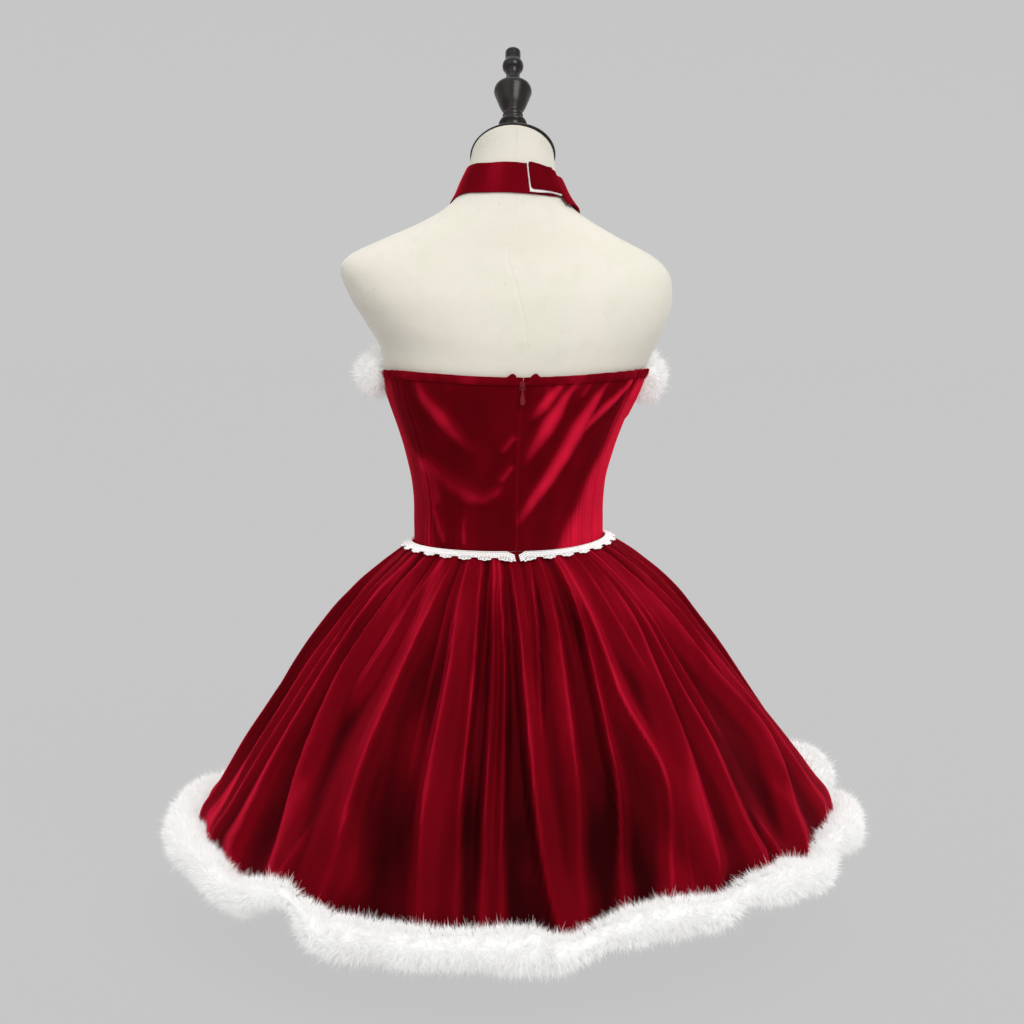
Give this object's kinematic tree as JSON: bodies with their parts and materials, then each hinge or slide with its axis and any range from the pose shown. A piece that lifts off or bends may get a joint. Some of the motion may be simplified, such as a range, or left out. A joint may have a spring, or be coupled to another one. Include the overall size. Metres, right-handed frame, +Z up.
{
  "type": "short halter dress with fur trim on a dress form",
  "caption": "Short red velvet halter dress with a gathered flared skirt, white fur at hem and neckline and a lace waist trim, on a limbless dress form with a round stand.",
  "frame": {"origin": "centre of the stand's underside, on the surface that it stands on", "axes": "+Z up, -Y towards the front of the dress, +X towards the wearer's left"},
  "size_m": [0.8525, 0.8562, 1.0341],
  "materials": {
    "velvet": "deep red stretch velvet with a soft sheen along its folds",
    "fur": "white long-pile faux fur",
    "lace": "white cotton crochet lace",
    "canvas": "cream stretch canvas, smooth over padding",
    "black_wood": "turned wood in semi-gloss black lacquer",
    "stand_metal": "satin black powder coat",
    "zip": "dark red enamelled zip",
    "tape": "white woven hook tape"
  },
  "bodies": {
    "dress_and_form": {"stand_base": "stand_metal", "stand_pole": "stand_metal", "stand_flange": "stand_metal", "form_torso": "canvas", "neck_cap": "black_wood", "finial": "black_wood", "bodice_back_left": "velvet", "bodice_side_left": "velvet", "bodice_front": "velvet", "bodice_side_right": "velvet", "bodice_back_right": "velvet", "casing_left": "velvet", "casing_right": "velvet", "skirt_back_left": "velvet", "skirt_front_left": "velvet", "skirt_front_right": "velvet", "skirt_back_right": "velvet", "waist_lace": "lace", "hem_fur_left": "fur", "hem_fur_right": "fur", "neckline_fur": "fur", "halter_left": "velvet", "halter_right": "velvet", "halter_tape": "tape", "zip_coil": "zip", "zip_slider": "zip"},
    "pull_tab": {"zip_pull": "zip"}
  },
  "joints": [
    {"name": "pull_swing", "type": "hinge", "parent": "dress_and_form", "child": "pull_tab", "pos_m": [-0.00128, 0.11081, 0.647], "axis": [1, 0, 0], "range_deg": [0, 150]}
  ]
}
